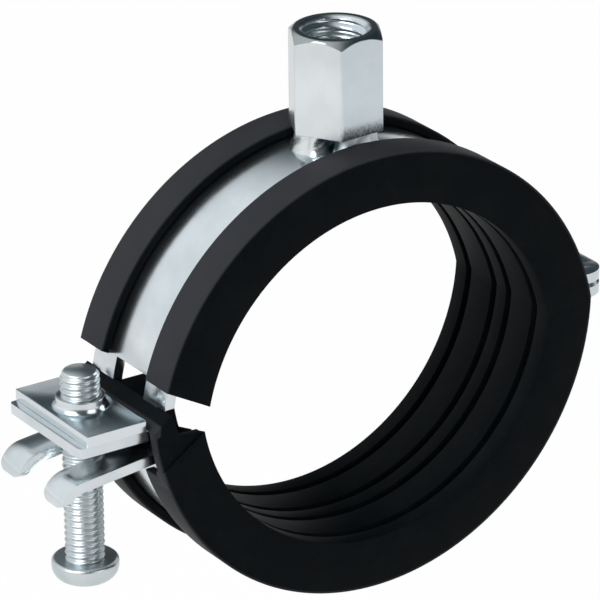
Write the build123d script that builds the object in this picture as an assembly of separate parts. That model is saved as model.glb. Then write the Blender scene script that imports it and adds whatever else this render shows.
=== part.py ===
from build123d import *
from math import cos, radians, sin, sqrt, tan
import os

# Rubber lined two-part pipe clamp, in millimetres.
# +Y runs along the pipe, +Z up through the connection nut, +X towards the hinge.
# The origin is on the axis of the upper half ring, which is the pipe's when it is seated.

# ---- the two half rings ----
bore_radius = 30.8           # crests of the rubber ribs
rubber_base = 4.8            # rubber between the pipe and the strap
strap_thickness = 1.6
strap_width = 20.0
lip_height = 1.6             # lips above the strap
upper_centre = (0.0, 0.0)    # X, Z of the upper half's arc
lower_centre = (-0.7, 8.65)  # X, Z of the lower half's arc

strap_inside = bore_radius + rubber_base
strap_middle = strap_inside + strap_thickness / 2
strap_outside = strap_inside + strap_thickness
lip_radius = strap_outside + lip_height

# ---- rubber liner ----
liner_clearance = 0.2        # between strap and rubber, all round
liner_side = 1.8             # rubber beside the strap's edges
liner_width = strap_width + 2 * (liner_clearance + liner_side)
lip_reach = 5.9              # lips over the strap's edges
rib_groove_depth = 1.0
rib_groove_width = 1.4
rib_groove_inner = 1.9       # Y of the grooves, on both sides of the middle
rib_groove_outer = liner_width / 2 - 3.4

# ---- closure, liner ends; X is measured from the strap's middle line ----
closure_x = -strap_middle
upper_end_outer = (closure_x - 0.5, 10.6)
upper_end_inner = (closure_x + 5.7, 7.2)
shoulder_inner = (closure_x + 4.8, 2.8)  # the lower end's slanted shoulders
shoulder_outer = (closure_x - 1.1, -1.3)
shoulder_fall = 0.5          # the shoulders' fall towards the middle, per mm
saddle_half_width = 4.6      # raised middle of the lower end, behind the window
saddle_top = 6.8             # Z
flange_notch_clearance = 0.5     # rubber cut away round the flanges

# ---- nut plate and screw ----
screw_place = closure_x - 8.2    # X of the screw's axis
screw_radius = 2.95
screw_length = 30.0
screw_tip_rise = 7.3         # above the flange
screw_tip_chamfer = 0.6
head_radius = 5.0
head_height = 3.3
head_round = 2.0
head_edge = 0.5              # bevel of the head's bearing face
recess_width = 1.1
recess_length = 5.6
recess_depth = 1.7
plate_length = 10.0
plate_overhang = 0.2         # past the strap's edges
plate_thickness = 1.75
plate_corner = 0.25
collar_wall = 0.7
collar_height = 1.7
collar_flare = 0.45
thread_clearance = 0.05

# ---- closure, upper half ----
flange_top = 4.7             # Z
flange_tip = screw_place - 6.2   # X
flange_bend = 1.2            # inside radius of the sheet's bends
flange_corner = 0.8
flange_shoulder = closure_x - 2.8    # X where the flange reaches full width
ear_bottom = 7.1             # Z of the strap's ears beside the legs
ear_width = 2.1
window_half_width = 4.2
window_top = 10.3            # Z
window_end = closure_x - 1.9     # X
screw_slot_clearance = 0.35
screw_tilt_room = 0.8        # more slot on the outer side, so that the screw can tilt

# ---- closure, lower half ----
fork_angle = 6.4             # slopes down outwards, degrees
fork_root = (closure_x + 0.7, 0.4)   # X, Z on the fork's upper face
fork_inset = 1.1             # the fork's edges from the strap's
fork_slot_clearance = 0.45
fork_slot_room = 0.6         # past the screw, inwards
curl_start = screw_place - 5.2   # X
curl_radius = 2.4            # inside radius of the claws
curl_angle = 76.0
claw_corner = 1.6

# ---- hinge ----
hinge_tip = strap_middle + 7.6   # X
hinge_inset = 1.5            # the hinge plates' edges from the strap's
hinge_corner = 3.6
hinge_upper_top = 9.3        # Z of the upper plate
hinge_gap = 0.7              # between the two plates
tongue_width = 7.0
tongue_place = strap_middle + 4.0    # X, middle of the tongue's upright
tongue_rise = 2.6            # above the upper plate, to the hook's underside
tongue_hook = 3.2            # length of the hook, inwards
tongue_clearance = 0.5       # round the tongue in its slot

# ---- connection nut ----
nut_across_flats = 13.0
nut_height = 15.1
nut_rise = 1.2               # the hexagon's lower face above the lips
nut_turn = 3.6               # the nut is welded a little askew, degrees
nut_chamfer_angle = 30.0
nut_chamfer = 0.25           # width of the chamfer across the flats
weld_inset = 0.6             # the weld collar from the flats
weld_clearance = 0.02        # between the weld collar and the strap
large_thread_radius = 4.25   # M10 core
large_thread_depth = 9.0
small_thread_radius = 3.4    # M8 core
mouth_chamfer = 0.9
nut_bottom = lip_radius + nut_rise
nut_top = nut_bottom + nut_height

far = 100.0                  # reach of the cutting boxes
cut_reach = bore_radius / 2  # reach of the liner's end cuts past its section
UP = (Align.CENTER, Align.CENTER, Align.MIN)
DOWN = (Align.CENTER, Align.CENTER, Align.MAX)


def block(x0, x1, y0, y1, z0, z1):
    """A box between opposite corners."""
    size = (abs(x1 - x0), abs(y1 - y0), abs(z1 - z0))
    middle = ((x0 + x1) / 2, (y0 + y1) / 2, (z0 + z1) / 2)
    return Pos(*middle) * Box(*size)


def both_sides(x0, x1, y0, y1, z0, z1):
    """The same box on +Y and on -Y."""
    return block(x0, x1, y0, y1, z0, z1) + block(x0, x1, -y1, -y0, z0, z1)


def flange_joint(centre, on_flange, slope, side, inner):
    """Bend centre, its end on the flange and its end on the strap's arc.

    slope is the flange's outward direction in degrees, side the sign of the bend
    centre's side of the flange, inner the inside radius of the bend.
    """
    radius = inner + strap_thickness / 2
    along = Vector(cos(radians(slope)), sin(radians(slope)))
    normal = Vector(-along.Y, along.X) * side
    middle = Vector(*centre)
    start = Vector(*on_flange) + normal * radius - middle
    across = start.dot(along)
    reach = strap_middle + radius
    out = -across + sqrt(across ** 2 - start.dot(start) + reach ** 2)
    bend = middle + start + along * out
    return bend, bend - normal * radius, middle + (bend - middle) * (strap_middle / reach)


def bend_arc(centre, start, end):
    """The shorter arc about centre from start to end."""
    radius = (start - centre).length
    halfway = centre + ((start - centre) + (end - centre)).normalized() * radius
    return ThreePointArc(start, halfway, end)


def sheet(lines, width):
    """Sheet metal along a line in the XZ plane, of the strap's thickness."""
    section = Plane.XZ * trace(lines, strap_thickness)
    return extrude(section, amount=width / 2, both=True)


def end_edges(part, x, limit, direction=Axis.Z):
    """Edges along direction that lie at x, within limit of it."""
    edges = part.edges().filter_by(direction)
    return [edge for edge in edges if abs(edge.center().X - x) < limit]


def upper_strap():
    """Upper half of the strap, with its screw flange, legs, ears and hinge plate."""
    half = strap_thickness / 2
    flange_line = flange_top - half
    left = flange_joint(upper_centre, (flange_tip, flange_line), 180, -1, flange_bend)
    hinge_line = hinge_upper_top - half
    right = flange_joint(upper_centre, (hinge_tip, hinge_line), 0, 1, flange_bend)
    crown = Vector(upper_centre[0], upper_centre[1] + strap_middle)
    lines = [
        Line((flange_tip, flange_line), left[1]),
        bend_arc(*left),
        ThreePointArc(left[2], crown, right[2]),
        bend_arc(right[0], right[2], right[1]),
        Line(right[1], (hinge_tip, hinge_line)),
    ]
    strap = sheet(lines, strap_width)
    leg_outer = strap_width / 2 - ear_width
    inner = -bore_radius
    strap -= both_sides(flange_shoulder, inner, leg_outer, far, flange_top - far, ear_bottom)
    strap -= block(window_end, inner, -window_half_width, window_half_width, -far, window_top)
    strap -= screw_slot()
    strap -= both_sides(right[2].X + half, far, hinge_half_width(), far, -far, far)
    strap -= tongue_slot()
    strap = fillet(end_edges(strap, flange_tip, 0.1), flange_corner)
    return fillet(end_edges(strap, hinge_tip, 0.1), hinge_corner)


def screw_slot():
    """Oval hole in the upper flange, long enough for the screw to tilt."""
    width = 2 * (screw_radius + screw_slot_clearance)
    middle = screw_place - screw_tilt_room / 2
    shape = Pos(middle, 0, flange_top) * SlotOverall(width + screw_tilt_room, width)
    return extrude(shape, amount=far, both=True)


def hinge_half_width():
    """Half the width of both hinge plates."""
    return strap_width / 2 - hinge_inset


def tongue_slot():
    """Slot of the upper hinge plate, round the lower half's tongue."""
    reach = strap_thickness / 2 + tongue_clearance
    wide = tongue_width / 2 + tongue_clearance
    z = hinge_upper_top
    return block(tongue_place - reach, tongue_place + reach, -wide, wide, z - far, z + far)


def lower_hinge_top():
    """Z of the lower hinge plate's upper face."""
    return hinge_upper_top - strap_thickness - hinge_gap


def lower_strap():
    """Lower half of the strap, with its fork and claws and its hinge plate."""
    half = strap_thickness / 2
    slope = 180 + fork_angle
    along = Vector(cos(radians(slope)), sin(radians(slope)))
    under = Vector(-along.Y, along.X)
    root = Vector(*fork_root) + under * half
    left = flange_joint(lower_centre, root, slope, 1, flange_bend)
    tip = root + along * ((curl_start - root.X) / along.X)
    curl_centre = tip + under * (curl_radius + half)
    curl_end = curl_centre + (tip - curl_centre).rotate(Axis.Z, curl_angle)
    hinge_line = lower_hinge_top() - half
    right = flange_joint(lower_centre, (hinge_tip, hinge_line), 0, -1, flange_bend)
    bottom = Vector(lower_centre[0], lower_centre[1] - strap_middle)
    lines = [
        bend_arc(curl_centre, curl_end, tip),
        Line(tip, left[1]),
        bend_arc(*left),
        ThreePointArc(left[2], bottom, right[2]),
        bend_arc(right[0], right[2], right[1]),
        Line(right[1], (hinge_tip, hinge_line)),
    ]
    strap = sheet(lines, strap_width)
    strap -= both_sides(-far, left[2].X - half, fork_half_width(), far, -far, far)
    strap -= fork_slot()
    strap -= both_sides(right[2].X + half, far, hinge_half_width(), far, -far, far)
    strap = fillet(end_edges(strap, hinge_tip, 0.1), hinge_corner)
    strap = fillet(claw_edges(strap, curl_centre, curl_end), claw_corner)
    return strap + tongue()


def claw_edges(strap, centre, end):
    """The short edges across the sheet at the claws' tips."""
    tip = Vector(end.X, 0, end.Y)
    across = (end - centre).normalized()
    short = [edge for edge in strap.edges() if abs(edge.length - strap_thickness) < 0.01]
    return [
        edge
        for edge in short
        if abs((edge @ 0.5 - tip).X) + abs((edge @ 0.5 - tip).Z) < 0.01
        and abs((edge % 0.5).dot(Vector(across.X, 0, across.Y))) > 0.99
    ]


def fork_half_width():
    """Half the width of the fork over both prongs."""
    return strap_width / 2 - fork_inset


def fork_slot():
    """Slot of the fork, open at its outer end and round at its inner end."""
    radius = screw_radius + fork_slot_clearance
    inner = screw_place + fork_slot_room
    slot = block(-far, inner, -radius, radius, -far, far)
    return slot + Pos(inner, 0, 0) * Cylinder(radius, 2 * far)


def tongue():
    """Tongue of the lower hinge plate: up through the slot, then hooked inwards."""
    half = strap_thickness / 2
    bend = flange_bend + half
    low = lower_hinge_top() - half
    high = hinge_upper_top + tongue_rise - half
    path = [
        Line((tongue_place, low), (tongue_place, high - bend)),
        bend_arc(
            Vector(tongue_place - bend, high - bend),
            Vector(tongue_place, high - bend),
            Vector(tongue_place - bend, high),
        ),
        Line((tongue_place - bend, high), (tongue_place - bend - tongue_hook / 2, high)),
    ]
    return sheet(path, tongue_width)


def ring(section, centre):
    """A closed ring about an arc's axis, from a section in radius and Y."""
    x, z = centre
    places = [(x + radius, y) for radius, y in section]
    face = Plane((0, 0, z)) * make_face(Polyline(*places, close=True))
    return revolve(face, Axis((x, 0, z), (0, 1, 0)))


def liner_section():
    """C-shaped section: base under the strap, lips round its edges."""
    side = liner_width / 2
    opening = side - lip_reach
    slot = strap_width / 2 + liner_clearance
    outside = strap_outside + liner_clearance
    inside = strap_inside - liner_clearance
    return [
        (bore_radius, -side),
        (lip_radius, -side),
        (lip_radius, -opening),
        (outside, -opening),
        (outside, -slot),
        (inside, -slot),
        (inside, slot),
        (outside, slot),
        (outside, opening),
        (lip_radius, opening),
        (lip_radius, side),
        (bore_radius, side),
    ]


def liner_ring(centre):
    """The liner's whole ring with the grooves between the bore's ribs."""
    whole = ring(liner_section(), centre)
    half = rib_groove_width / 2
    deep = bore_radius + rib_groove_depth
    for place in (rib_groove_inner, rib_groove_outer):
        for y in (-place, place):
            groove = [
                (bore_radius - half, y - half),
                (deep, y - half),
                (deep, y + half),
                (bore_radius - half, y + half),
            ]
            whole -= ring(groove, centre)
    return whole


def seam_side(sign):
    """All space on one side of the plane where rings of equal radius cross."""
    upper = Vector(*upper_centre)
    lower = Vector(*lower_centre)
    normal = (upper - lower).normalized()
    middle = (upper + lower) * 0.5
    place = Plane((middle.X, 0, middle.Y), x_dir=(0, 1, 0), z_dir=(normal.X, 0, normal.Y))
    return place * Pos(0, 0, sign * far) * Box(4 * far, 4 * far, 2 * far)


def prism(points):
    """A prism along Y, past the liner on both sides."""
    return extrude(Plane.XZ * make_face(Polyline(*points, close=True)), amount=far, both=True)


def liner():
    """One rubber strip round both halves, bent at the hinge and open at the closure."""
    upper = liner_ring(upper_centre) & seam_side(-1)
    lower = liner_ring(lower_centre) & seam_side(1)
    upper -= prism(upper_end_cut())
    lower -= prism(saddle_cut())
    lower -= shoulder_cut(1) + shoulder_cut(-1)
    strip = upper + lower
    strip -= fork_notch()
    return strip - hinge_notch()


def upper_end_cut():
    """Outline below the upper half's slanted end."""
    outer = Vector(*upper_end_outer)
    inner = Vector(*upper_end_inner)
    slant = (outer - inner).normalized() * cut_reach
    left = outer + slant
    right = inner - slant
    return [(left.X, left.Y), (right.X, right.Y), (right.X, -far), (left.X, -far)]


def saddle_cut():
    """Outline above the raised middle of the lower half's end."""
    left = closure_x - cut_reach
    right = closure_x + cut_reach
    return [(left, saddle_top), (right, saddle_top), (right, far), (left, far)]


def shoulder_cut(side):
    """Space above the lower end's shoulder on one side, which falls towards the middle."""
    inner = Vector(shoulder_inner[0], side * liner_width / 2, shoulder_inner[1])
    outer = Vector(shoulder_outer[0], side * liner_width / 2, shoulder_outer[1])
    slant = (inner - outer).normalized()
    fall = Vector(0, -side, -shoulder_fall)
    normal = fall.cross(slant) * side
    above = Plane(inner, x_dir=slant, z_dir=normal) * Box(2 * cut_reach, far, far, align=UP)
    return above - block(-far, far, -saddle_half_width, saddle_half_width, -far, far)


def fork_notch():
    """Room in the lips for the fork's root."""
    wide = fork_half_width() + flange_notch_clearance
    low = fork_root[1] - 2 * strap_thickness - flange_notch_clearance
    return block(-far, fork_root[0], -wide, wide, low, flange_top)


def hinge_notch():
    """Room in the lips for the two hinge plates."""
    wide = strap_width / 2 + liner_clearance
    high = hinge_upper_top + strap_thickness + flange_notch_clearance
    low = lower_hinge_top() - 2 * strap_thickness - flange_notch_clearance
    return block(strap_middle - lip_height - flange_bend, far, -wide, wide, low, high)


def connection_nut():
    """Hexagon nut with a stepped thread and the collar that welds it to the strap."""
    hexagon = RegularPolygon(nut_across_flats / 2, 6, major_radius=False, rotation=30)
    nut = Pos(0, 0, nut_bottom) * extrude(hexagon, amount=nut_height)
    wide = nut_across_flats
    top_radius = nut_across_flats / 2 - nut_chamfer
    drop = (wide - top_radius) * tan(radians(nut_chamfer_angle))
    cone = Cone(wide, top_radius, drop, align=DOWN)
    barrel = Cylinder(wide, nut_height - drop, align=UP)
    nut &= Pos(0, 0, nut_top) * cone + Pos(0, 0, nut_bottom) * barrel
    weld_radius = nut_across_flats / 2 - weld_inset
    nut += Pos(0, 0, nut_bottom) * Cylinder(weld_radius, nut_bottom, align=DOWN)
    crown = Rot(90, 0, 0) * Cylinder(strap_outside + weld_clearance, far)
    nut -= Pos(upper_centre[0], 0, upper_centre[1]) * crown
    nut -= Pos(0, 0, nut_top) * Cylinder(large_thread_radius, large_thread_depth, align=DOWN)
    nut -= Pos(0, 0, nut_top) * Cylinder(small_thread_radius, nut_top, align=DOWN)
    mouth_radius = large_thread_radius + mouth_chamfer
    mouth = Cone(large_thread_radius, mouth_radius, mouth_chamfer, align=DOWN)
    nut -= Pos(0, 0, nut_top) * mouth
    return Rot(0, 0, nut_turn) * nut


def nut_plate():
    """Rectangular plate with a threaded collar drawn up out of it."""
    plate = Box(plate_length, strap_width + 2 * plate_overhang, plate_thickness, align=UP)
    plate = fillet(plate.edges().filter_by(Axis.Z), plate_corner)
    plate += Pos(0, 0, plate_thickness) * collar()
    plate -= Cylinder(screw_radius + thread_clearance, far)
    return Pos(screw_place, 0, flange_top) * plate


def collar():
    """Drawn collar, flared where it leaves the plate."""
    collar_radius = screw_radius + collar_wall
    neck = Cylinder(collar_radius, collar_height, align=UP)
    flare = Cone(collar_radius + collar_flare, collar_radius, 2 * collar_flare, align=UP)
    return neck + flare


def locking_screw():
    """Pan head screw, head down, with a cross recess."""
    tip_height = flange_top + screw_tip_rise
    end = tip_height - screw_length
    shank = Pos(0, 0, tip_height) * Cylinder(screw_radius, screw_length, align=DOWN)
    tip = shank.edges().filter_by(GeomType.CIRCLE).sort_by(Axis.Z)[-1]
    shank = chamfer(tip, screw_tip_chamfer)
    head = Pos(0, 0, end) * Cylinder(head_radius, head_height, align=DOWN)
    rims = head.edges().filter_by(GeomType.CIRCLE).sort_by(Axis.Z)
    head = chamfer(rims[-1], head_edge)
    head = fillet(head.edges().filter_by(GeomType.CIRCLE).sort_by(Axis.Z)[0], head_round)
    low = end - head_height
    for turn in (0, 90):
        arm = Box(recess_length, recess_width, 2 * recess_depth)
        head -= Pos(0, 0, low) * Rot(0, 0, turn) * arm
    return Pos(screw_place, 0, 0) * (shank + head)


parts = {
    "upper_strap": upper_strap(),
    "lower_strap": lower_strap(),
    "rubber_liner": liner(),
    "connection_nut": connection_nut(),
    "nut_plate": nut_plate(),
    "locking_screw": locking_screw(),
}
os.makedirs("parts", exist_ok=True)
for name, shape in parts.items():
    export_step(shape, f"parts/{name}.step")
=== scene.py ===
from math import atan2, cos, exp, pi, radians, sin, sqrt, tan

import bmesh
import bpy
from mathutils import Matrix, Vector


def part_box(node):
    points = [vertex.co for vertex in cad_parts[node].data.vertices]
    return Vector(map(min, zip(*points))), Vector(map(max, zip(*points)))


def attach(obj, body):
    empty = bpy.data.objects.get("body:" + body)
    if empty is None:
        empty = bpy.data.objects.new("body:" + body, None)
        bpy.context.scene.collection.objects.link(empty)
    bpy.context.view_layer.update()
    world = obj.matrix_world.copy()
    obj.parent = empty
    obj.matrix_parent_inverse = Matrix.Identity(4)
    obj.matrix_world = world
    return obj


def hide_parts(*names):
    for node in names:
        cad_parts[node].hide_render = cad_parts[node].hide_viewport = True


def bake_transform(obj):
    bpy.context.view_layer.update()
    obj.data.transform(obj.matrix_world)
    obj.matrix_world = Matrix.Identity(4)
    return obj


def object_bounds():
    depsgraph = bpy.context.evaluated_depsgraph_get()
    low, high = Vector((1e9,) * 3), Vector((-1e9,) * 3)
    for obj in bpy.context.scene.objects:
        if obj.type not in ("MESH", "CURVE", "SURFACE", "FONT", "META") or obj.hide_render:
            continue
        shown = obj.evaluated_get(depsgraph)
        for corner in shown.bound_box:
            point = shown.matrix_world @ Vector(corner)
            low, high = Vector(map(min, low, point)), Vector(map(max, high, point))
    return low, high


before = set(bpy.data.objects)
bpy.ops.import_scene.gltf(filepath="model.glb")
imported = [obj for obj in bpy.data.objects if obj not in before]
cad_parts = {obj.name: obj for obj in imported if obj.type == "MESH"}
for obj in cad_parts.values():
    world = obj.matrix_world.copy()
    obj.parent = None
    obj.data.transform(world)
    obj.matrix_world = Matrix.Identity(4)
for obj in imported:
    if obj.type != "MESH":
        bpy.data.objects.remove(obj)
cad_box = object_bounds()
mm = 0.001


# ---- camera ----
# A long lens in front of the closure's side and a little above it, so that the
# nut plate, the bore's ribs and the nut's mouth are all in view.
camera_azimuth = radians(-33.1)
camera_elevation = radians(23.5)
camera_roll = radians(-0.6)
camera_distance = 709.3 * mm
aim = Vector((0, 0, 7.5 * mm))
aim_right = -5.56 * mm
aim_up = 4.04 * mm
frame_pixels = 600
focal_pixels = 4761

back = Vector((
    sin(camera_azimuth) * cos(camera_elevation),
    -cos(camera_azimuth) * cos(camera_elevation),
    sin(camera_elevation),
))
level = Vector((0, 0, 1)).cross(back).normalized()
upright = back.cross(level)
right = cos(camera_roll) * level + sin(camera_roll) * upright
up = cos(camera_roll) * upright - sin(camera_roll) * level
camera = bpy.data.objects.new("camera", bpy.data.cameras.new("camera"))
bpy.context.scene.collection.objects.link(camera)
place = aim + camera_distance * back + aim_right * right + aim_up * up
turn = Matrix((right, up, back)).transposed().to_4x4()
camera.matrix_world = Matrix.Translation(place) @ turn
camera.data.lens = focal_pixels / frame_pixels * camera.data.sensor_width
camera.data.clip_start = 0.05
bpy.context.scene.camera = camera


# ---- strap halves ----
# Steel strip with bright zinc plate, bent to the ring and out into flanges.
class Wire:
    """A socket of a node tree. Arithmetic on it adds Math nodes."""

    def __init__(self, tree, socket=None):
        self.tree = tree
        self.socket = socket

    def node(self, kind, settings=None, out=0, **inputs):
        """A new node from its type, its settings and the values or wires of its sockets."""
        made = self.tree.nodes.new(kind)
        for name, value in (settings or {}).items():
            setattr(made, name, value)
        for name, value in inputs.items():
            key = int(name[1:]) if name[1:].isdigit() else name.replace("_", " ")
            if isinstance(value, Wire):
                self.tree.links.new(value.socket, made.inputs[key])
            else:
                made.inputs[key].default_value = value
        return Wire(self.tree, made.outputs[out]) if made.outputs else made

    def maths(self, operation, *others):
        inputs = {f"i{n}": value for n, value in enumerate((self, *others))}
        return self.node("ShaderNodeMath", {"operation": operation}, **inputs)

    def __add__(self, other):
        return self.maths("ADD", other)

    def __sub__(self, other):
        return self.maths("SUBTRACT", other)

    def __rsub__(self, other):
        return (self * -1) + other

    def __mul__(self, other):
        return self.maths("MULTIPLY", other)

    __radd__ = __add__
    __rmul__ = __mul__

    def root(self):
        return self.maths("SQRT")

    def step(self, low, high):
        """0 below low, 1 above high, smooth between them."""
        settings = {"interpolation_type": "SMOOTHSTEP"}
        return self.node("ShaderNodeMapRange", settings, i0=self, i1=low, i2=high)

    def blend(self, first, second):
        """The colour first where this wire is 0 and second where it is 1."""
        settings = {"data_type": "RGBA"}
        return self.node("ShaderNodeMix", settings, out=2, i0=self, i6=first, i7=second)

    def axes(self):
        """X, Y and Z of a vector."""
        split = self.node("ShaderNodeSeparateXYZ", Vector=self).socket.node
        return [Wire(self.tree, socket) for socket in split.outputs]

    def noise(self, scale, detail=2, stretch=None):
        """Smooth noise about 0.5, of this many features a metre, stretched along the axes."""
        where = self
        if stretch is not None:
            where = self.node("ShaderNodeMapping", Vector=self, Scale=stretch)
        return self.node("ShaderNodeTexNoise", Vector=where, Scale=scale, Detail=detail)


def new_material(name):
    """An empty material, its tree and its object coordinates in metres."""
    material = bpy.data.materials.new(name)
    material.use_nodes = True
    material.node_tree.nodes.clear()
    tree = Wire(material.node_tree)
    return material, tree, tree.node("ShaderNodeTexCoord", out=3)


def finish(tree, **sockets):
    """A Principled shader with these sockets, joined to the output."""
    shader = tree.node("ShaderNodeBsdfPrincipled", **sockets)
    tree.node("ShaderNodeOutputMaterial", Surface=shader)


def zinc(name, light, shade, rough, lines=(1, 9, 1), relief=0.06):
    """Bright zinc plate: patches of shade, drawing lines, a few dull spots, faint grit."""
    material, tree, place = new_material(name)
    patches = place.noise(150, detail=3)
    drawn = place.noise(900, detail=3, stretch=lines)
    grit = place.noise(3800, detail=2)
    spots = place.noise(1300, detail=4).step(0.60, 0.74)
    colour = patches.step(0.32, 0.68).blend(light, shade)
    colour = (spots * 0.12).blend(colour, zinc_spot)
    bump = tree.node(
        "ShaderNodeBump", Strength=relief, Distance=0.03 * mm,
        Height=drawn * 0.8 + grit * 0.5,
    )
    finish(
        tree, Base_Color=colour, Metallic=1.0,
        Roughness=rough - 0.06 + 0.10 * patches + 0.05 * drawn + 0.03 * spots, Normal=bump,
    )
    return material


def solid_copy(node, name):
    """A new object with a solid's mesh, its facets joined into whole faces."""
    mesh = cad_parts[node].data.copy()
    mesh.name = name
    made = bmesh.new()
    made.from_mesh(mesh)
    bmesh.ops.remove_doubles(made, verts=made.verts, dist=0.002 * mm)
    bmesh.ops.dissolve_limit(
        made, angle_limit=radians(0.3), verts=made.verts, edges=made.edges
    )
    made.to_mesh(mesh)
    made.free()
    piece = bpy.data.objects.new(name, mesh)
    bpy.context.scene.collection.objects.link(piece)
    return piece


def applied(piece):
    """The piece with its modifiers made into mesh."""
    bpy.context.view_layer.update()
    shown = piece.evaluated_get(bpy.context.evaluated_depsgraph_get())
    mesh = bpy.data.meshes.new_from_object(shown)
    piece.modifiers.clear()
    piece.data = mesh
    return piece


def smooth(piece, angle):
    """Smooth shading over edges that turn less than this many degrees."""
    mesh = piece.data
    mesh.polygons.foreach_set("use_smooth", [True] * len(mesh.polygons))
    mesh.set_sharp_from_angle(angle=radians(angle))
    return piece


def rounded(piece, width, segments=2, angle=32):
    """The piece with its edges rounded."""
    bevel = piece.modifiers.new("edges", "BEVEL")
    bevel.width = width
    bevel.segments = segments
    bevel.limit_method = "ANGLE"
    bevel.angle_limit = radians(angle)
    bevel.use_clamp_overlap = True
    bevel.miter_outer = "MITER_ARC"
    return smooth(applied(piece), angle)


def dressed(piece, material, node, body=None):
    """Gives the piece its material and slot, and has it stand for a node on a body."""
    piece.data.materials.clear()
    piece.data.materials.append(material)
    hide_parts(node)
    if body:
        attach(piece, body)


strap_edge = 0.16 * mm
zinc_spot = (0.50, 0.56, 0.57, 1)
strap_zinc = zinc(
    "strap_zinc", (0.74, 0.78, 0.80, 1), (0.66, 0.71, 0.735, 1), 0.20, relief=0.04
)
for node, body in (("upper_strap", "upper_half"), ("lower_strap", "lower_half")):
    strap = rounded(solid_copy(node, node + "_zinc"), strap_edge)
    dressed(strap, strap_zinc, node, body)


# ---- connection nut ----
# Hexagon nut turned from bar, with an M10 thread above an M8 one, both cut in it.
# It is welded to the strap, and beads of molten metal have run out under it.
across_flats = 13.0 * mm
corner_radius = 7.42 * mm
nut_turn = radians(3.6)
nut_low = 40.0 * mm
nut_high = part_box("connection_nut")[1].z
chamfer_radius = across_flats / 2 - 0.25 * mm
chamfer_slope = tan(radians(42))
mouth_radius = 5.15 * mm
large_thread = (4.25 * mm, 4.95 * mm, 1.5 * mm)     # core, outside, pitch
large_depth = 9.0 * mm
small_thread = (3.4 * mm, 3.95 * mm, 1.25 * mm)
thread_rows = 20                                    # a pitch
nut_edge = 0.12 * mm
nut_waist = 6 * mm                                  # height of a ring on the flats
corner_steps = (0.5, 1.0, 1.5, 2.2, 5, 12)          # degrees each side of a corner
flat_steps = (18, 24, 30, 36, 42)
strap_outside = 37.2 * mm
weld_columns = 120
weld_rows = 7
weld_top = nut_low + 0.2 * mm
weld_sunk = 0.03 * mm                               # into the strap
weld_bore = small_thread[1] + 0.1 * mm
weld_radius = 5.75 * mm
weld_gap = 1.9 * mm                                 # depth of the gap in its outline
weld_gap_angle = radians(-134)
weld_gap_spread = radians(24)
weld_lump = 0.22 * mm
weld_swell = 0.16 * mm
weld_spread = 0.9 * mm                              # where it meets the strap
nut_smooth = 24                                     # degrees an edge turns unseen
burnt_rise = 3.4 * mm
# The side most burnt is also the side painted with bluish shade.
burnt_and_shaded_way = (0.838, -0.545)                         # X, Y of the side most burnt
nut_light = (0.74, 0.775, 0.78, 1)
nut_shade = (0.69, 0.73, 0.745, 1)
nut_shaded_blue = (0.575, 0.655, 0.70, 1)
nut_top_shade = (0.40, 0.42, 0.43, 1)
soot = (0.10, 0.12, 0.13, 1)
weld_shadow = (0.030, 0.050, 0.065, 1)


def thread_depth(share):
    """Depth of a thread's groove, 0 to 1, at this share of its pitch."""
    return (0.5 + 0.5 * cos(2 * pi * share)) ** 0.8


def bridge(made, lower, upper):
    """Quads between two rings of as many vertices."""
    for number in range(len(lower)):
        after = (number + 1) % len(lower)
        made.faces.new((lower[number], lower[after], upper[after], upper[number]))


def mesh_piece(name, made, where=(0, 0, 0)):
    """A new piece from a bmesh, moved to its place."""
    mesh = bpy.data.meshes.new(name)
    bmesh.ops.recalc_face_normals(made, faces=made.faces)
    made.to_mesh(mesh)
    made.free()
    mesh.transform(Matrix.Translation(where))
    piece = bpy.data.objects.new(name, mesh)
    bpy.context.scene.collection.objects.link(piece)
    return piece


def nut_angles():
    """Angles round the nut, close together at its six corners."""
    offsets = [0, *corner_steps, *(-step for step in corner_steps), *flat_steps]
    return sorted(
        nut_turn + radians(60 * corner + offset) for corner in range(6) for offset in offsets
    )


def hexagon_radius(angle):
    """Radius of the hexagon's side at this angle, with its corners rounded off."""
    share = (angle - nut_turn) % (pi / 3) - pi / 6
    return min(across_flats / 2 / cos(share), corner_radius)


def nut_body(made):
    """The hexagon with its chamfers, mouth and two threads, as rings from outside to inside."""
    angles = nut_angles()

    def ring(radius_at, height_at):
        points = []
        for angle in angles:
            radius = radius_at(angle)
            points.append(
                made.verts.new((radius * cos(angle), radius * sin(angle), height_at(angle)))
            )
        return points

    def flat_ring(radius, height):
        return ring(lambda angle: radius, lambda angle: height)

    def shoulder(angle):
        return nut_high - (hexagon_radius(angle) - chamfer_radius) * chamfer_slope

    rings = [
        ring(lambda a: hexagon_radius(a) - nut_edge, lambda a: nut_low),
        ring(hexagon_radius, lambda a: nut_low + nut_edge),
        ring(hexagon_radius, lambda a: nut_low + nut_waist),
        ring(hexagon_radius, lambda a: shoulder(a) - nut_edge),
        ring(lambda a: hexagon_radius(a) - nut_edge / 3, shoulder),
        flat_ring(chamfer_radius + nut_edge, nut_high - nut_edge * chamfer_slope),
        flat_ring(chamfer_radius - nut_edge, nut_high),
        flat_ring(mouth_radius + nut_edge, nut_high),
        flat_ring(mouth_radius - nut_edge, nut_high - nut_edge),
    ]
    top = nut_high - 2 * nut_edge
    for core, outside, pitch, low in (
        (*large_thread, nut_high - large_depth),
        (*small_thread, nut_low),
    ):
        count = int((top - low) / pitch * thread_rows)
        for row in range(count + 1):
            height = top + (low - top) * row / count
            cone = mouth_radius - (nut_high - height)

            def bore(angle):
                groove = (outside - core) * thread_depth(height / pitch - angle / (2 * pi))
                return max(core + groove, cone)

            rings.append(ring(bore, lambda angle: height))
        top = low - 0.02 * mm
    for outer, inner in zip(rings, rings[1:] + rings[:1]):
        bridge(made, outer, inner)


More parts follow.
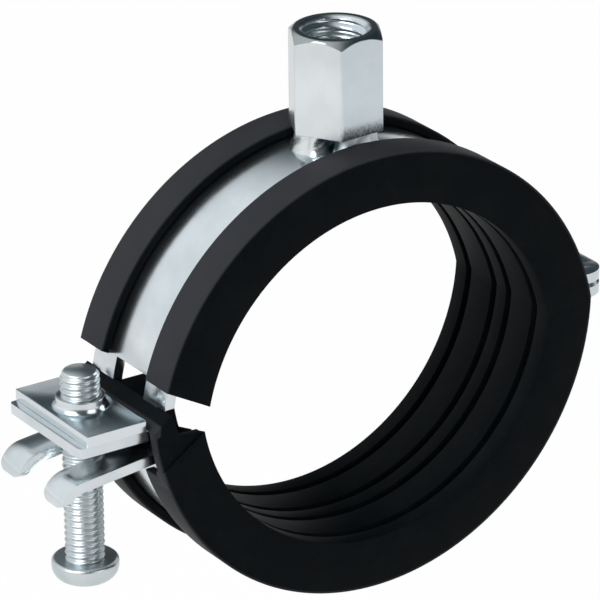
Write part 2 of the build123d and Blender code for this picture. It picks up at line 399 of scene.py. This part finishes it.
def weld_reach(angle, height):
    """Radius of the run-out weld, with small lumps and one gap where none ran out."""
    away = (angle - weld_gap_angle + pi) % (2 * pi) - pi
    gap = weld_gap * exp(-(away / weld_gap_spread) ** 2)
    lumps = sin(5 * angle + 1.3) + 0.6 * sin(9 * angle + 0.4) + 0.3 * sin(16 * angle + 2.1)
    swell = sin(pi * height) * (1 + sin(11 * angle + 4 * height))
    return (
        weld_radius - gap + weld_lump * lumps + weld_spread * height ** 3 + weld_swell * swell
    )


def weld_point(angle, radius, height):
    """A point of the weld, from the nut's underside at height 0 down to the strap at 1."""
    x, y = radius * cos(angle), radius * sin(angle)
    foot = sqrt(strap_outside ** 2 - x ** 2) - weld_sunk
    return x, y, weld_top + (foot - weld_top) * height


def weld(made):
    """Ring of weld metal from the nut's underside down to the strap."""
    angles = [2 * pi * column / weld_columns for column in range(weld_columns)]
    rings = []
    for row in range(weld_rows + 1):
        height = row / weld_rows
        rings.append([
            made.verts.new(weld_point(angle, weld_reach(angle, height), height))
            for angle in angles
        ])
    for height in (1, 0):
        rings.append([made.verts.new(weld_point(angle, weld_bore, height)) for angle in angles])
    for outer, inner in zip(rings, rings[1:] + rings[:1]):
        bridge(made, outer, inner)


# The zinc is burnt off at the nut's foot. Painted shade darkens the top face and chamfer and
# tints one side of the flats bluish, and painted shadow fills the gap under the nut.
nut_zinc, tree, place = new_material("nut_zinc")
x, y, z = place.axes()
patches = place.noise(180, detail=3)
drawn = place.noise(700, detail=3, stretch=(6, 6, 0.7))
grit = place.noise(3600, detail=2)
burnt_and_shaded_side = (x * burnt_and_shaded_way[0] + y * burnt_and_shaded_way[1]).step(0.2 * mm, 1.2 * mm)
burnt_height = 1 - z.step(nut_low - 1.5 * mm, nut_low + burnt_rise)
speckle = place.noise(3000, detail=5)
burnt = burnt_height * (0.25 + 0.75 * burnt_and_shaded_side)
smudge = (burnt * 1.1 + (speckle - 0.5) * 2.2 * burnt).step(0.12, 1.0)
run_out = (x * x + y * y).root()
in_gap = (1 - run_out.step(4.5 * mm, 5.4 * mm)) * (1 - z.step(nut_low, nut_low + 0.1 * mm))
colour = (patches * 0.8 + drawn * 0.2).step(0.36, 0.68).blend(nut_light, nut_shade)
# Painted shade: one side of the flats is tinted darker blue.
colour = (burnt_and_shaded_side * (0.55 + 0.9 * (patches - 0.5))).blend(colour, nut_shaded_blue)
cone = run_out * chamfer_slope + z
cone_reach = nut_high + chamfer_radius * chamfer_slope
# Painted shade: the nut's top face and chamfer are painted darker grey.
chamfer_shade = cone.step(cone_reach - 0.16 * mm, cone_reach - 0.06 * mm)
top_face_shade = z.step(nut_high - 0.20 * mm, nut_high - 0.04 * mm)
colour = (chamfer_shade + top_face_shade).step(0, 1).blend(colour, nut_top_shade)
colour = (smudge * z.step(nut_low - 0.3 * mm, nut_low)).blend(colour, soot)
# Painted shadow: the nut's underside in the weld's gap is painted near black.
colour = in_gap.blend(colour, weld_shadow)
bump = tree.node(
    "ShaderNodeBump", Strength=0.03, Distance=0.03 * mm, Height=drawn * 0.5 + grit * 0.6
)
finish(
    tree, Base_Color=colour, Metallic=1.0,
    Roughness=0.20 + 0.06 * patches + 0.02 * drawn + 0.25 * smudge, Normal=bump,
)
made = bmesh.new()
nut_body(made)
weld(made)
nut = smooth(mesh_piece("threaded_nut", made), nut_smooth)
dressed(nut, nut_zinc, "connection_nut", "upper_half")


# ---- rubber liner ----
# One moulded strip of black synthetic rubber, bent round both halves. Its lips grip
# the strap's edges, the bore's ribs hold the pipe, and its lower end is pulled up past
# both sides of the upper flange and hooked over it as a hood.
liner_edge = 0.35 * mm
upper_centre = Vector((0, 0))                       # X, Z of the upper half's arc
lower_centre = Vector((-0.7 * mm, 8.65 * mm))
bore_radius = 30.8 * mm
groove_radius = 31.8 * mm
base_radius = 35.4 * mm
slot_radius = 37.4 * mm
lip_radius = 38.8 * mm
liner_side = 12.0 * mm                              # Y of the side faces
lip_end = 6.1 * mm
slot_side = 10.2 * mm
groove_places = (8.6 * mm, 1.9 * mm)                # Y
groove_half = 0.7 * mm
upper_end = (Vector((-36.9, 10.6)) * mm, Vector((-30.7, 7.2)) * mm)   # X, Z
lower_end = (Vector((-37.5, -1.3)) * mm, Vector((-31.6, 2.8)) * mm)
lower_end_fall = 0.35                               # towards the middle
arc_stations = 96
fork_room = ((-60, -9.4, -3.3), (-35.7, 9.4, 4.7))  # opposite corners, mm
hinge_room = ((33.6, -10.2, 3.3), (60, 10.2, 11.4))
tab_side = (10.2 * mm, 11.7 * mm)                   # Y
hood_peak = (-36.4 * mm, 7.0 * mm)                  # X, Z
hood_foot = 4.7 * mm                                # Z of the flange under the hood
hood_sunk = 0.2 * mm                                # into the flange
hood_back = -35.45 * mm                             # X
tab_inner = ((-31.3 * mm, 0.0), (-31.3 * mm, 3.0 * mm), (-34.9 * mm, 3.15 * mm))
tab_foot = (-33 * mm, -4.0 * mm)
saddle_half_width = 3.9 * mm
saddle_top = 6.6 * mm
saddle_foot = -6.0 * mm
arc_points = 9
arcs_meet = 4.0 * mm                                # Z, halfway between the two centres
rubber_black = (0.0018, 0.0032, 0.0044, 1)
rubber_bloom = (0.0036, 0.0050, 0.0062, 1)
# Grey of the painted sheen on the lip tops, and of the dust.
lip_sheen_and_dust_grey = (0.034, 0.035, 0.039, 1)


def joined(piece, other, operation="UNION"):
    """The piece with another added to it or taken from it."""
    tool = piece.modifiers.new("join", "BOOLEAN")
    tool.operation = operation
    tool.solver = "EXACT"
    tool.object = other
    applied(piece)
    bpy.data.objects.remove(other)
    return piece


def arc(radius, low, high):
    """Points of an arc about the lower half's axis, on the closure's side."""
    points = []
    for number in range(arc_points):
        height = low + (high - low) * number / (arc_points - 1)
        across = sqrt(radius ** 2 - (height - lower_centre.y) ** 2)
        points.append((lower_centre.x - across, height))
    return points


def crossing(centre, radius, line, side, fall=0):
    """Angle where a circle crosses a line, on the closure's side (-1) or the hinge's (1)."""
    drop = Vector((0, fall))
    start, way = line[0] - drop - centre, (line[1] - line[0]).normalized()
    along = -start.dot(way)
    reach = sqrt(along ** 2 - start.length_squared + radius ** 2)
    points = (start + way * (along + reach), start + way * (along - reach))
    point = max(points, key=lambda p: p.x * side)
    return atan2(point.y, point.x) % (2 * pi)


def liner_outline():
    """Half of the liner's C-shaped section as (radius, Y), from the bore's middle round."""
    points = [(bore_radius, 0)]
    for place in reversed(groove_places):
        points += [
            (bore_radius, place - groove_half),
            (groove_radius, place - groove_half * 0.8),
            (groove_radius, place + groove_half * 0.8),
            (bore_radius, place + groove_half),
        ]
    points += [
        (bore_radius, liner_side),
        (lip_radius, liner_side),
        (lip_radius, lip_end),
        (slot_radius, lip_end),
        (slot_radius, slot_side),
        (base_radius, slot_side),
        (base_radius, 0),
    ]
    return points


def liner_path(radius, y):
    """Points at one place of the section: over the top from the closure, and back below."""
    seam_middle = (upper_centre + lower_centre) / 2
    seam_way = (upper_centre - lower_centre).orthogonal()
    seam = (seam_middle, seam_middle + seam_way)
    fall = lower_end_fall * (liner_side - abs(y))
    points = []
    for centre, first, last in (
        (
            upper_centre,
            crossing(upper_centre, radius, upper_end, -1),
            crossing(upper_centre, radius, seam, 1),
        ),
        (
            lower_centre,
            crossing(lower_centre, radius, seam, 1),
            crossing(lower_centre, radius, lower_end, -1, fall),
        ),
    ):
        for station in range(arc_stations + 1):
            if centre is lower_centre and station == 0:
                continue
            angle = first + (last - first) * station / arc_stations
            points.append(
                (centre.x + radius * cos(angle), y, centre.y + radius * sin(angle))
            )
    return points


def liner_strip():
    """The liner as one strip swept round both halves, before its end is shaped."""
    half = liner_outline()
    whole = half + [(radius, -y) for radius, y in reversed(half[1:-1])]
    made = bmesh.new()
    paths = [[made.verts.new(point) for point in liner_path(radius, y)] for radius, y in whole]
    count = len(paths[0])
    for number, path in enumerate(paths):
        after = paths[(number + 1) % len(paths)]
        for station in range(count - 1):
            made.faces.new((
                path[station], path[station + 1], after[station + 1], after[station],
            ))
    middle = len(half)
    for end in (0, count - 1):
        ring = [path[end] for path in paths]
        made.faces.new(ring[:middle])
        made.faces.new(ring[middle - 1:] + ring[:1])
    return mesh_piece("liner", made)


def room(corners):
    """A box to cut away, between opposite corners in mm."""
    low, high = (Vector(corner) * mm for corner in corners)
    made = bmesh.new()
    bmesh.ops.create_cube(made, size=1)
    bmesh.ops.scale(made, vec=high - low, verts=made.verts)
    return mesh_piece("room", made, (low + high) / 2)


def prism(name, outline, near, far):
    """A prism along Y from an outline in X and Z."""
    made = bmesh.new()
    rings = [[made.verts.new((x, y, z)) for x, z in outline] for y in (near, far)]
    bridge(made, *rings)
    for ring in rings:
        made.faces.new(ring)
    return mesh_piece(name, made)


liner = liner_strip()
for corners in (fork_room, hinge_room):
    joined(liner, room(corners), "DIFFERENCE")
outer = arc(lip_radius, hood_foot, tab_foot[1])
tab = [*tab_inner, hood_peak, *outer, tab_foot]
for sign in (-1, 1):
    joined(liner, prism("tab", tab, sign * tab_side[0], sign * tab_side[1]))
sunk = hood_foot - hood_sunk
hood = [hood_peak, outer[0], (outer[0][0], sunk), (hood_back, sunk)]
joined(liner, prism("hood", hood, -tab_side[1], tab_side[1]))
saddle = arc(bore_radius, saddle_foot, saddle_top) + arc(base_radius, saddle_top, saddle_foot)
joined(liner, prism("saddle", saddle, -saddle_half_width, saddle_half_width))

rubber, tree, place = new_material("rubber")
x, y, z = place.axes()
upper_reach = (x * x + z * z).root()
lower_x = x - lower_centre.x
lower_z = z - lower_centre.y
lower_reach = (lower_x * lower_x + lower_z * lower_z).root()
is_upper = z.step(arcs_meet - 0.1 * mm, arcs_meet + 0.1 * mm)
reach = is_upper * upper_reach + (1 - is_upper) * lower_reach
lit_lip_top = reach.step(lip_radius - 0.45 * mm, lip_radius - 0.08 * mm)
cloud = place.noise(220, detail=4)
grain = place.noise(5200, detail=2)
dust = place.noise(1500, detail=4).step(0.56, 0.78)
colour = cloud.step(0.40, 0.70).blend(rubber_black, rubber_bloom)
# Painted sheen: the lip tops are painted grey where light falls on them.
colour = (lit_lip_top * (0.75 + 0.25 * cloud)).blend(colour, lip_sheen_and_dust_grey)
colour = (dust * 0.12).blend(colour, lip_sheen_and_dust_grey)
bump = tree.node(
    "ShaderNodeBump", Strength=0.30, Distance=0.05 * mm, Height=grain * 0.6 + cloud * 0.8
)
finish(
    tree, Base_Color=colour, Roughness=0.46 + 0.14 * cloud + 0.05 * dust, Normal=bump,
    Specular_IOR_Level=0.045,
)
liner = rounded(liner, liner_edge, segments=3)
dressed(liner, rubber, "rubber_liner")
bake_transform(liner)


# ---- nut plate ----
# Thick zinc plated steel plate whose thread is cut in a collar drawn up out of it. Its top face
# is painted darker than its edges and collar, as painted shade.
plate_edge = 0.14 * mm
plate_thickness = 1.75 * mm
plate_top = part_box("nut_plate")[0].z + plate_thickness
plate_light = (0.74, 0.78, 0.80, 1)
plate_shade = (0.40, 0.48, 0.52, 1)

plate_zinc, tree, place = new_material("plate_zinc")
z = place.axes()[2]
patches = place.noise(150, detail=3)
above_edges = z.step(plate_top - 0.15 * mm, plate_top - 0.02 * mm)
on_collar = z.step(plate_top + 0.1 * mm, plate_top + 0.6 * mm)
# Painted shade: the plate's top face, away from the collar, is painted darker teal.
painted_top_shade = above_edges * (1 - on_collar)
colour = (painted_top_shade * (0.55 + 0.45 * patches)).blend(plate_light, plate_shade)
finish(tree, Base_Color=colour, Metallic=1.0, Roughness=0.16 + 0.10 * patches)
plate = rounded(solid_copy("nut_plate", "nut_plate_zinc"), plate_edge)
dressed(plate, plate_zinc, "nut_plate", "nut_plate")


# ---- locking screw ----
# M6 pan head screw, head down, with its rolled thread running up to the head. Its
# head has a cross recess, and the end of the thread is turned down to a short cone.
screw_zinc = zinc(
    "screw_zinc", (0.66, 0.70, 0.71, 1), (0.56, 0.61, 0.63, 1), 0.30,
    lines=(5, 5, 1), relief=0.01,
)
screw_low, screw_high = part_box("locking_screw")
screw_x = (screw_low.x + screw_high.x) / 2
screw_columns = 64
screw_rows = 14                 # a pitch
screw_thread = (2.95 * mm, 2.50 * mm, 1.0 * mm)     # crest, root, pitch
head_radius = 5.0 * mm
head_height = 3.3 * mm
head_round = 2.2 * mm
head_bevel = 0.55 * mm
recess_width = 1.1 * mm
recess_length = 5.6 * mm
recess_depth = 1.7 * mm
shank_sunk = 0.3 * mm           # into the head
tip_height = 0.10 * mm          # of the thread's cut end
screw_smooth = 62               # degrees an edge turns unseen


def threaded_shank(made, low, high):
    """Rings of vertices up a screw thread, closed at both ends."""
    crest, root, pitch = screw_thread
    count = int((high - low) / pitch * screw_rows)
    tip = root - 0.05 * mm
    rings = []
    for row in range(count + 1):
        height = low + (high - low) * row / count
        ring = []
        for column in range(screw_columns):
            angle = 2 * pi * column / screw_columns
            depth = thread_depth(height / pitch - column / screw_columns)
            radius = crest - (crest - root) * depth
            radius = min(radius, tip + (high - height) * 0.8)
            ring.append(made.verts.new((radius * cos(angle), radius * sin(angle), height)))
        rings.append(ring)
    for lower, upper in zip(rings, rings[1:]):
        bridge(made, lower, upper)
    crown = [
        made.verts.new((v.co.x * 0.93, v.co.y * 0.93, high + tip_height)) for v in rings[-1]
    ]
    bridge(made, rings[-1], crown)
    made.faces.new(crown)
    made.faces.new(list(reversed(rings[0])))


def turned(made, profile, steps=72):
    """A closed turned form from (radius, height) points off its axis."""
    angles = [2 * pi * step / steps for step in range(steps)]
    rings = [
        [made.verts.new((radius * cos(a), radius * sin(a), height)) for a in angles]
        for radius, height in profile
    ]
    for lower, upper in zip(rings, rings[1:]):
        bridge(made, lower, upper)
    made.faces.new(list(reversed(rings[0])))
    made.faces.new(rings[-1])


def head_profile(low, steps=10):
    """Pan head: flat underside, rounded rim and a rounded edge on the bearing face."""
    points = []
    for step in range(steps + 1):
        angle = pi / 2 * step / steps
        points.append((
            head_radius - head_round + head_round * sin(angle),
            low + head_round * (1 - cos(angle)),
        ))
    top = low + head_height
    for step in range(steps + 1):
        angle = pi / 2 * step / steps
        points.append((
            head_radius - head_bevel + head_bevel * cos(angle),
            top - head_bevel + head_bevel * sin(angle),
        ))
    return points


def recess_arm(length, width, low):
    """One arm of the cross recess, through the head's underside."""
    made = bmesh.new()
    bmesh.ops.create_cube(made, size=1)
    bmesh.ops.scale(made, vec=(length, width, 2 * recess_depth), verts=made.verts)
    return mesh_piece("recess", made, (0, 0, low))


made = bmesh.new()
turned(made, head_profile(screw_low.z))
head = mesh_piece("head", made)
for length, width in ((recess_length, recess_width), (recess_width, recess_length)):
    joined(head, recess_arm(length, width, screw_low.z), "DIFFERENCE")
made = bmesh.new()
made.from_mesh(head.data)
bpy.data.objects.remove(head)
threaded_shank(made, screw_low.z + head_height - shank_sunk, screw_high.z - tip_height)
screw = smooth(mesh_piece("threaded_screw", made, (screw_x, 0, 0)), screw_smooth)
dressed(screw, screw_zinc, "locking_screw", "locking_screw")


# ---- floor and light ----
# Plain pale floor in a studio with dark walls, a white band low round them and a wide
# pale screen on the left. Two soft lamps stand left and right of the camera.
floor_drop = 45 * mm
floor_size = 8.0
floor_grey = (0.86, 0.86, 0.86, 1)
floor_glow = 0.98             # share of plain white to the camera
floor_sheen = 0.62            # and to metal
screen_side = (-0.62, 0.40, 0.68)
wall_dark = (0.035, 0.055, 0.065, 1)
screen_pale = (0.88, 0.92, 0.94, 1)
low_white = (1.0, 1.0, 1.0, 1)

bpy.ops.mesh.primitive_plane_add(size=floor_size)
floor = bpy.context.object
floor.name = "floor"
floor.location.z = cad_box[0][2] - floor_drop
paper, tree, place = new_material("paper")
shadowed = tree.node("ShaderNodeBsdfDiffuse", Color=floor_grey)
white = tree.node("ShaderNodeEmission", Color=low_white, Strength=1.0)
rays = tree.node("ShaderNodeLightPath").socket.node
camera_ray = Wire(tree.tree, rays.outputs["Is Camera Ray"])
glossy_ray = Wire(tree.tree, rays.outputs["Is Glossy Ray"])
seen = camera_ray * floor_glow + glossy_ray * floor_sheen
glow = tree.node("ShaderNodeMixShader", i0=seen, i1=shadowed, i2=white)
tree.node("ShaderNodeOutputMaterial", Surface=glow)
floor.data.materials.append(paper)

world = bpy.data.worlds.new("studio")
bpy.context.scene.world = world
world.use_nodes = True
world.node_tree.nodes.clear()
tree = Wire(world.node_tree)
direction = tree.node("ShaderNodeTexCoord")
z = direction.axes()[2]
toward_screen = direction.node(
    "ShaderNodeVectorMath", {"operation": "DOT_PRODUCT"}, out=1,
    i0=direction, i1=screen_side,
)
walls = toward_screen.step(0.38, 0.82).blend(wall_dark, screen_pale)
sky = z.step(0.05, 0.20).blend(low_white, walls)
tree.node(
    "ShaderNodeOutputWorld", Surface=tree.node("ShaderNodeBackground", Color=sky, Strength=1.0)
)


def softbox(name, azimuth, elevation, distance, width, height, power):
    """A rectangular lamp that looks at the clamp from this direction."""
    lamp = bpy.data.lights.new(name, "AREA")
    lamp.shape = "RECTANGLE"
    lamp.size = width
    lamp.size_y = height
    lamp.energy = power
    holder = bpy.data.objects.new(name, lamp)
    bpy.context.scene.collection.objects.link(holder)
    a, e = radians(azimuth), radians(elevation)
    out = Vector((sin(a) * cos(e), -cos(a) * cos(e), sin(e)))
    holder.location = out * distance
    holder.rotation_euler = out.to_track_quat("Z", "Y").to_euler()


softbox(
    "key", azimuth=-75, elevation=40, distance=0.8, width=0.5, height=0.5, power=4.0
)
softbox(
    "fill", azimuth=15, elevation=25, distance=0.9, width=0.5, height=0.4, power=1.2
)

bpy.context.scene.view_settings.view_transform = "Standard"
